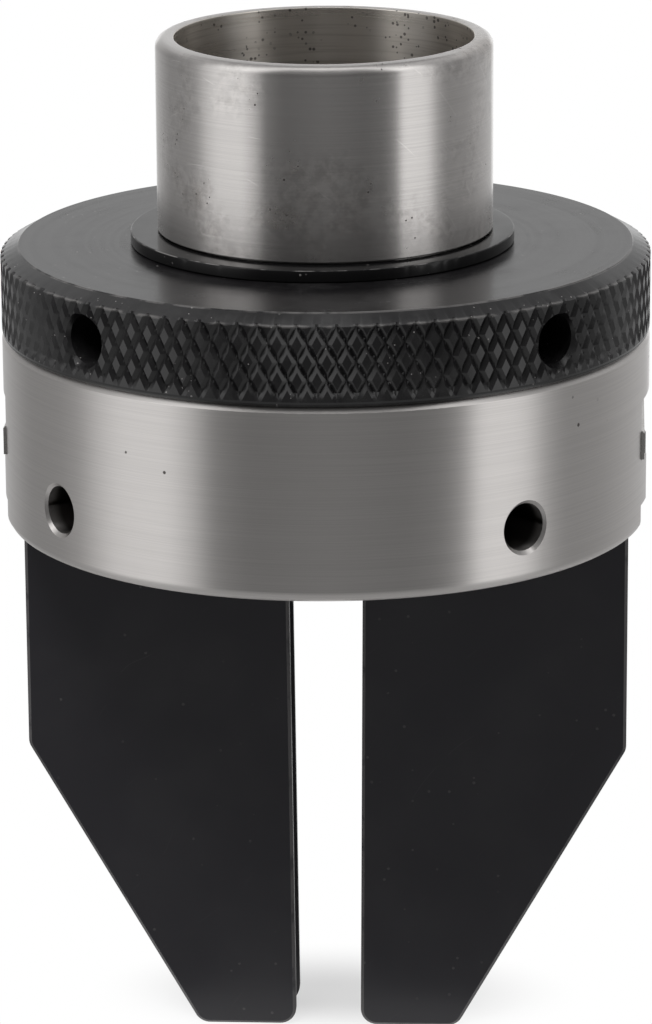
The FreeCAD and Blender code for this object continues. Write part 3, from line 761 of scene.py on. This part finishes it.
# How near a point is to the rim to lie on it, and to a groove's valley or shoulder, as
# shares of the grooves' spacing.
ON_RIM = 0.1 * MM
ON_VALLEY = 0.05
ON_SHOULDER = 0.03
RIB_START_RADIUS = 26.65 * MM
RIB_PITCH = 3 * MM
RIB_TURNS = 2.5333
RIB_THICKNESS = 1.2 * MM
RIB_HEIGHT = 2.6 * MM
RIB_SINK = 0.4 * MM
RIB_RUN_OUT = 0.0001

# The knurl: two crossing families of vee grooves pressed in the rim. The rim's squares are
# split along the grooves' lines, so that the diamonds get straight edges.
knurl, given = geometry_tree("diamond_knurl", {
    "Rim Radius": "Float", "Starts": "Float", "Axial Pitch": "Float", "Phase": "Float",
    "Groove Depth": "Float", "Half Width": "Float", "Fainter": "Float", "Top": "Float",
    "Foot": "Float", "Run Out": "Float", "Material": "Material",
})
x, y, z = parts_of(knurl, add_node(knurl, "GeometryNodeInputPosition").outputs[0])
radius = length_of(knurl, x, y)
heading = sum_of(knurl, "ARCTAN2", y, x)
starts_a_radian = sum_of(knurl, "DIVIDE", given["Starts"], 2 * math.pi)
turns = sum_of(knurl, "MULTIPLY_ADD", heading, starts_a_radian, given["Phase"])
rise = sum_of(knurl, "DIVIDE", sum_of(knurl, "SUBTRACT", z, given["Top"]), given["Axial Pitch"])
off_lines = [
    sum_of(knurl, "PINGPONG", sum_of(knurl, hand, turns, rise), 0.5) for hand in ("ADD", "SUBTRACT")
]
on_rim = sum_of(knurl, "GREATER_THAN", radius, sum_of(knurl, "SUBTRACT", given["Rim Radius"], ON_RIM))
geometry = given["Geometry"]
for off_line, method in zip(off_lines[::-1], ("FIXED", "FIXED_ALTERNATE")):
    valley = sum_of(knurl, "LESS_THAN", off_line, ON_VALLEY)
    shoulder = sum_of(knurl, "COMPARE", off_line, given["Half Width"], ON_SHOULDER)
    crease = times(knurl, on_rim, sum_of(knurl, "MAXIMUM", valley, shoulder))
    wires = {"Mesh": geometry, "Selection": crease}
    geometry = add_node(knurl, "GeometryNodeTriangulate", wires, quad_method=method).outputs[0]
above_foot = sum_of(knurl, "SUBTRACT", z, given["Foot"])
fading = sum_of(knurl, "DIVIDE", above_foot, given["Run Out"], clamp=True)
slope = sum_of(knurl, "DIVIDE", given["Groove Depth"], given["Half Width"])
grooves = []
for off_line, strength in zip(off_lines, (1.0, given["Fainter"])):
    groove = sum_of(knurl, "SUBTRACT", given["Groove Depth"], times(knurl, off_line, slope))
    grooves.append(times(knurl, groove, fading, strength))
deepest = sum_of(knurl, "MAXIMUM", 0.0, sum_of(knurl, "MAXIMUM", *grooves))
pressed = sum_of(knurl, "MINIMUM", radius, sum_of(knurl, "SUBTRACT", given["Rim Radius"], deepest))
shrink = sum_of(knurl, "DIVIDE", pressed, radius)
moved = vector_of(knurl, times(knurl, x, shrink), times(knurl, y, shrink), z)
shaped = add_node(knurl, "GeometryNodeSetPosition", {"Geometry": geometry, "Position": moved})
end_tree(knurl, shaped.outputs[0], given["Material"])

# A light line of wear, used also for painted highlight: where a coordinate is near a value,
# broken up as a rubbed edge is.
wear_and_highlight_line, given, put = shader_group(
    "wear_and_highlight_line", {"Coordinate": 0.0, "Place": 0.0, "Reach": 0.0001, "Patch Size": 0.003, "Patches": 0.5},
    ["Mask"])
off = sum_of(wear_and_highlight_line, "ABSOLUTE", sum_of(wear_and_highlight_line, "SUBTRACT", given["Coordinate"], given["Place"]))
near = spread(wear_and_highlight_line, off, given["Reach"], times(wear_and_highlight_line, given["Reach"], 0.3))
here = in_patches(wear_and_highlight_line, own_place(wear_and_highlight_line), given["Patch Size"], 4.0, given["Patches"], 0.15)
wear_and_highlight_line.links.new(times(wear_and_highlight_line, near, here), put["Mask"])

# Black oxide on turned steel: circular marks, faint clouds, small bare chips, and light edge
# lines that are partly rubbed bare and partly painted highlight.
BLACK_OXIDE = (0.0056, 0.0053, 0.0058, 1)
BLACK_RUBBED = (0.016, 0.0155, 0.016, 1)
# Bare steel's colour, for chips and rubbed edges, and also for painted edge highlights.
BARE_METAL_AND_HIGHLIGHT = (0.22, 0.21, 0.205, 1)
black_ring, tree, shader = new_finish("black_knurled_steel")
place = own_place(tree)
x, y, z = parts_of(tree, place)
radius = length_of(tree, x, y)
marks = masks_of(tree, tool_marks, Fineness=5200.0, Length=18 * MM)
cloud = noise_of(tree, place, scale=150.0, detail=5.0, roughness=0.65)
oxide = blend_colours(tree, spread(tree, cloud, 0.42, 0.70), BLACK_OXIDE, BLACK_RUBBED)
chips = mask_of(tree, specks, Size=0.24 * MM, Share=0.016, Patch_Size=4 * MM, Patches=0.50)
# Light lines at the chamfer's top and foot: partly rubbed bare edge, partly painted highlight.
top_edge_wear_and_highlight = mask_of(
    tree, wear_and_highlight_line, Coordinate=radius, Place=RING_TOP_RADIUS, Reach=0.16 * MM, Patches=0.40)
top_edge_wear_and_highlight = times(tree, top_edge_wear_and_highlight, spread(tree, z, RING_TOP - 0.4 * MM, RING_TOP - 0.2 * MM))
low_edge_wear_and_highlight = mask_of(
    tree, wear_and_highlight_line, Coordinate=z, Place=RING_CHAMFER_FOOT, Reach=0.2 * MM, Patches=0.42)
ring_edge_wear_and_highlight = times(tree, sum_of(tree, "MAXIMUM", top_edge_wear_and_highlight, low_edge_wear_and_highlight), 0.30)
rubbed = sum_of(tree, "ADD", times(tree, chips, 0.8), ring_edge_wear_and_highlight, clamp=True)
colour = blend_colours(tree, rubbed, oxide, BARE_METAL_AND_HIGHLIGHT)
rough = spread(tree, marks["Broad"], 0.3, 0.7, 0.17, 0.23)
rough = sum_of(tree, "MULTIPLY_ADD", spread(tree, cloud, 0.4, 0.7), 0.06, rough)
finish_metal(tree, shader, colour, rough, sum_of(tree, "ADD", marks["Streaks"], cloud), 0.12)
shader.inputs["Specular IOR Level"].default_value = 0.62

notch_rise = KNURL_DEPTH * (RING_TOP - RING_CHAMFER_FOOT) / (BODY_RADIUS - RING_TOP_RADIUS)
outer_wall = [
    np.array((BODY_RADIUS, RING_CHAMFER_FOOT - KNURL_STEP * row)) for row in range(KNURL_ROWS, -1, -1)
]
outer_wall.append(np.array((BODY_RADIUS - KNURL_DEPTH, RING_CHAMFER_FOOT + notch_rise)))
softened = rounded_outline([
    (RING_BORE_RADIUS, SCROLL_FACE, EDGE_BREAK),
    (PLATE_RADIUS, SCROLL_FACE, EDGE_BREAK),
    (PLATE_RADIUS, RING_FOOT, EDGE_BREAK),
    (BODY_RADIUS, RING_FOOT, RING_FOOT_ROUND),
    (RING_TOP_RADIUS, RING_TOP, EDGE_BREAK),
    (RING_BORE_RADIUS, RING_TOP, RING_BORE_BREAK),
], steps=RING_ROUND_STEPS)
# The rim's rows of points go in after the first four rounded corners.
below_wall = 4 * (RING_ROUND_STEPS + 1)
outline = softened[:below_wall] + outer_wall + softened[below_wall:]
ring = new_piece("knurled_ring", turned_mesh("knurled_ring", outline, KNURL_STARTS * KNURL_STEPS))
run_tree(ring, knurl, **{
    "Rim Radius": BODY_RADIUS, "Starts": float(KNURL_STARTS), "Axial Pitch": KNURL_PITCH,
    "Phase": KNURL_PHASE, "Groove Depth": KNURL_DEPTH, "Half Width": KNURL_HALF_WIDTH,
    "Fainter": KNURL_FAINTER, "Top": RING_CHAMFER_FOOT, "Foot": KNURL_FOOT,
    "Run Out": KNURL_RUN_OUT, "Material": black_ring,
})
run_tree(ring, drill, **{
    "Holes": BAR_HOLES, "Turn": RING_HOLE_TURN, "Level": RING_HOLE_LEVEL, "Rim Radius": BODY_RADIUS,
    "Depth": RING_HOLE_DEPTH, "Hole Radius": BAR_HOLE_RADIUS, "Mouth Radius": RING_HOLE_MOUTH,
    "Mouth Depth": RING_MOUTH_DEPTH, "Material": black_ring,
})
smooth_shading(ring, 14)
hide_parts("scroll_ring")
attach(ring, "scroll")

rib = new_piece("scroll_rib", bpy.data.meshes.new("scroll_rib"))
run_tree(rib, winding, **{
    "Steps": WOUND_STEPS, "Turns": RIB_TURNS, "Start Radius": RIB_START_RADIUS,
    "End Radius": RIB_START_RADIUS - RIB_PITCH * RIB_TURNS, "Rise": 0.0, "Level": SCROLL_FACE,
    "Base Width": RIB_THICKNESS, "Crest Width": RIB_THICKNESS, "Height": RIB_HEIGHT + RIB_SINK,
    "Sink": RIB_SINK, "Lean": 0.0, "Run Out": RIB_RUN_OUT, "Material": black_ring,
})
smooth_shading(rib, 30)
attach(rib, "scroll")


# Retaining ring. A split ring of blackened spring steel, sprung into the hub's groove to
# hold the scroll ring down. Its edge is a little dented; its bright rub is partly painted highlight.
RETAINER_INNER = 17.2 * MM
RETAINER_OUTER = 20.65 * MM
RETAINER_TOP = -20.9 * MM
RETAINER_FOOT = -22.2 * MM
RETAINER_OFFSET = 0.35 * MM
RETAINER_SPLIT = 3 * MM
RETAINER_COLUMNS = 720
# Waves round its outer edge: how many, their phase and size. Dents in its upper edge: degrees
# from +X, width in degrees, and depth.
RETAINER_WAVES = [(3, 0.7, 0.05 * MM), (7, 2.1, 0.03 * MM), (17, 4.0, 0.012 * MM)]
RETAINER_DENTS = [
    (-52, 1.2, 0.10 * MM), (-56.5, 0.9, 0.08 * MM), (-48.5, 0.8, 0.09 * MM), (-61, 0.7, 0.05 * MM),
    (-44, 1.1, 0.07 * MM), (-131, 1.0, 0.06 * MM), (-118, 0.8, 0.05 * MM), (-35, 1.2, 0.06 * MM),
]
ring_section = rounded_outline([
    (RETAINER_INNER, RETAINER_FOOT, 0.08 * MM),
    (RETAINER_OUTER, RETAINER_FOOT, 0.16 * MM),
    (RETAINER_OUTER, RETAINER_TOP, 0.14 * MM),
    (RETAINER_INNER, RETAINER_TOP, 0.16 * MM),
])
retainer_mesh = turned_mesh("split_ring", ring_section, RETAINER_COLUMNS)
for point in retainer_mesh.vertices:
    outward = (point.co.xy.length - RETAINER_INNER) / (RETAINER_OUTER - RETAINER_INNER)
    heading = math.atan2(point.co.y, point.co.x)
    grow = sum(size * math.sin(waves * heading + phase) for waves, phase, size in RETAINER_WAVES)
    height = (point.co.z - RETAINER_FOOT) / (RETAINER_TOP - RETAINER_FOOT)
    for at, width, deep in RETAINER_DENTS:
        grow -= deep * height ** 5 * math.exp(-((math.degrees(heading) - at) / width) ** 2)
    point.co.xy *= 1 + grow * outward ** 4 / point.co.xy.length
    point.co.x -= RETAINER_OFFSET * outward
retainer = new_piece("split_ring", retainer_mesh)
below = RETAINER_FOOT - CUT_CLEARANCE
above = RETAINER_TOP + CUT_CLEARANCE
split_section = [
    (RETAINER_INNER / 2, below), (2 * RETAINER_OUTER, below),
    (2 * RETAINER_OUTER, above), (RETAINER_INNER / 2, above),
]
cut_away(retainer, long_bar("split", split_section, -RETAINER_SPLIT / 2, RETAINER_SPLIT / 2))


def facing_of(tree):
    """How far the surface faces along X, Y and Z, each from -1 to 1."""
    return parts_of(tree, add_node(tree, "ShaderNodeNewGeometry").outputs["Normal"])


GLOSS_BLACK = (0.0045, 0.0044, 0.0046, 1)
RUBBED_RADII = (RETAINER_OUTER - 1.2 * MM, RETAINER_OUTER - 0.8 * MM)
spring_black, tree, shader = new_finish("blackened_spring_steel")
place = own_place(tree)
x, y, z = parts_of(tree, place)
facing_up = facing_of(tree)[2]
# The rounded outer top edge is lightened: partly rubbed bare steel, partly painted highlight.
outer_edge_wear_and_highlight = mask_of(tree, wear_and_highlight_line, Coordinate=facing_up, Place=0.68, Reach=0.30, Patches=0.47)
outside = spread(tree, length_of(tree, x, y), *RUBBED_RADII)
dust = mask_of(tree, specks, Size=0.3 * MM, Share=0.03, Patch_Size=3 * MM, Patches=0.50)
cloud = noise_of(tree, place, scale=420.0, detail=5.0)
rubbed = sum_of(tree, "MAXIMUM", times(tree, outer_edge_wear_and_highlight, outside, 0.7), times(tree, dust, 0.6))
colour = blend_colours(tree, rubbed, GLOSS_BLACK, BARE_METAL_AND_HIGHLIGHT)
rough = spread(tree, cloud, 0.35, 0.65, 0.13, 0.20)
finish_metal(tree, shader, colour, rough, cloud, 0.35)
shader.inputs["Specular IOR Level"].default_value = 0.35
retainer.data.materials.append(spring_black)
smooth_shading(retainer, 30)
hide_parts("retaining_ring")
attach(retainer, "chuck")


# Jaw plates. Two bevelled blades of black oxide steel, screwed and dowelled to the slides,
# with a vee down each gripping face. Their long edges carry a thin light line: partly rubbed
# bare steel, partly painted highlight.
def repaint(nodes, material):
    """Gives a finish to pieces that keep their CAD shape."""
    for node in nodes:
        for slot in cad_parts[node].material_slots:
            slot.material = material


JAW_BLACK = (0.0245, 0.0236, 0.0275, 1)
JAW_DULL = (0.0290, 0.0281, 0.0315, 1)
JAW_GROOVE_REACH = 3.3 * MM
EDGE_FACING = 0.7071
jaw_black, tree, shader = new_finish("black_oxide_steel")
place = own_place(tree)
off_middle = sum_of(tree, "ABSOLUTE", parts_of(tree, place)[1])
facing_front = sum_of(tree, "ABSOLUTE", facing_of(tree)[1])
# The chamfers' thin light line: partly rubbed bare edge, partly painted highlight.
edge = mask_of(
    tree, wear_and_highlight_line, Coordinate=facing_front, Place=EDGE_FACING, Reach=0.25, Patch_Size=2.5 * MM,
    Patches=0.30)
edge = times(tree, edge, sum_of(tree, "GREATER_THAN", off_middle, JAW_GROOVE_REACH))
cloud = noise_of(tree, place, scale=75.0, detail=6.0, roughness=0.6)
grain = noise_of(tree, place, scale=4200.0, detail=2.0)
dust = mask_of(tree, specks, Size=0.45 * MM, Share=0.012, Patch_Size=14 * MM, Patches=0.44)
scored = mask_of(tree, scratches, Spacing=11 * MM, Width=0.004, Lean=-0.9, Patches=0.56)
oxide = blend_colours(tree, spread(tree, cloud, 0.38, 0.70), JAW_BLACK, JAW_DULL)
rubbed = sum_of(tree, "MAXIMUM", times(tree, dust, 0.22), times(tree, scored, 0.07))
rubbed = sum_of(tree, "MAXIMUM", times(tree, edge, 0.26), rubbed)
colour = blend_colours(tree, rubbed, oxide, BARE_METAL_AND_HIGHLIGHT)
rough = spread(tree, cloud, 0.35, 0.70, 0.36, 0.46)
finish_metal(tree, shader, colour, rough, grain, 0.12)
shader.inputs["Specular IOR Level"].default_value = 0.4
repaint(["right_jaw_plate", "left_jaw_plate"], jaw_black)


# Jaw slides. Tee-shaped bars of ground steel that run in the body's slot, with crescent
# teeth on their backs that mesh with the scroll. The dowels are ground from the same steel.
GROUND_STEEL = (0.56, 0.545, 0.53, 1)
GROUND_DULL = (0.40, 0.38, 0.36, 1)
GRINDING_ALONG = 90.0
GRINDING_ACROSS = 5200.0
ground_steel, tree, shader = new_finish("ground_steel")
place = own_place(tree)
x, y, z = parts_of(tree, place)
lengthwise = vector_of(
    tree, times(tree, x, GRINDING_ALONG), times(tree, y, GRINDING_ACROSS), times(tree, z, GRINDING_ACROSS))
lines = noise_of(tree, lengthwise, scale=1.0, detail=3.0)
cloud = noise_of(tree, place, scale=160.0, detail=5.0)
shade = sum_of(tree, "MULTIPLY_ADD", cloud, 0.6, times(tree, lines, 0.4))
colour = blend_colours(tree, spread(tree, shade, 0.42, 0.62), GROUND_STEEL, GROUND_DULL)
pits = mask_of(tree, specks, Size=0.4 * MM, Share=0.04, Patch_Size=6 * MM, Patches=0.52)
colour = blend_colours(tree, times(tree, pits, 0.7), colour, PIT_AND_SHADE_COLOUR)
rough = spread(tree, lines, 0.3, 0.7, 0.26, 0.38)
finish_metal(tree, shader, colour, rough, sum_of(tree, "SUBTRACT", lines, pits), 0.22)
shader.inputs["Metallic"].default_value = 1
repaint(["right_jaw_slide", "left_jaw_slide"], ground_steel)
for side in ("right", "left"):
    repaint([side + "_inner_dowel", side + "_outer_dowel"], ground_steel)


# Screws. Four black hexagon socket cap screws, bought in, that clamp the plates to the
# slides, with rubbed rims where the key and the box of loose screws have marked them.
SCREW_BLACK = (0.011, 0.0107, 0.0105, 1)
screw_black, tree, shader = new_finish("black_screw_steel")
facing_up = sum_of(tree, "ABSOLUTE", facing_of(tree)[2])
rim = mask_of(
    tree, wear_and_highlight_line, Coordinate=facing_up, Place=0.7, Reach=0.35, Patch_Size=1.5 * MM,
    Patches=0.38)
cloud = noise_of(tree, own_place(tree), scale=600.0, detail=5.0)
chips = mask_of(tree, specks, Size=0.3 * MM, Share=0.05, Patch_Size=2 * MM, Patches=0.50)
rubbed = sum_of(tree, "MAXIMUM", times(tree, rim, 0.5), times(tree, chips, 0.6))
oxide = blend_colours(tree, spread(tree, cloud, 0.4, 0.65), SCREW_BLACK, BLACK_RUBBED)
colour = blend_colours(tree, rubbed, oxide, BARE_METAL_AND_HIGHLIGHT)
finish_metal(tree, shader, colour, spread(tree, cloud, 0.35, 0.65, 0.28, 0.42), cloud, 0.2)
for side in ("right", "left"):
    repaint([side + "_inner_screw", side + "_outer_screw"], screw_black)
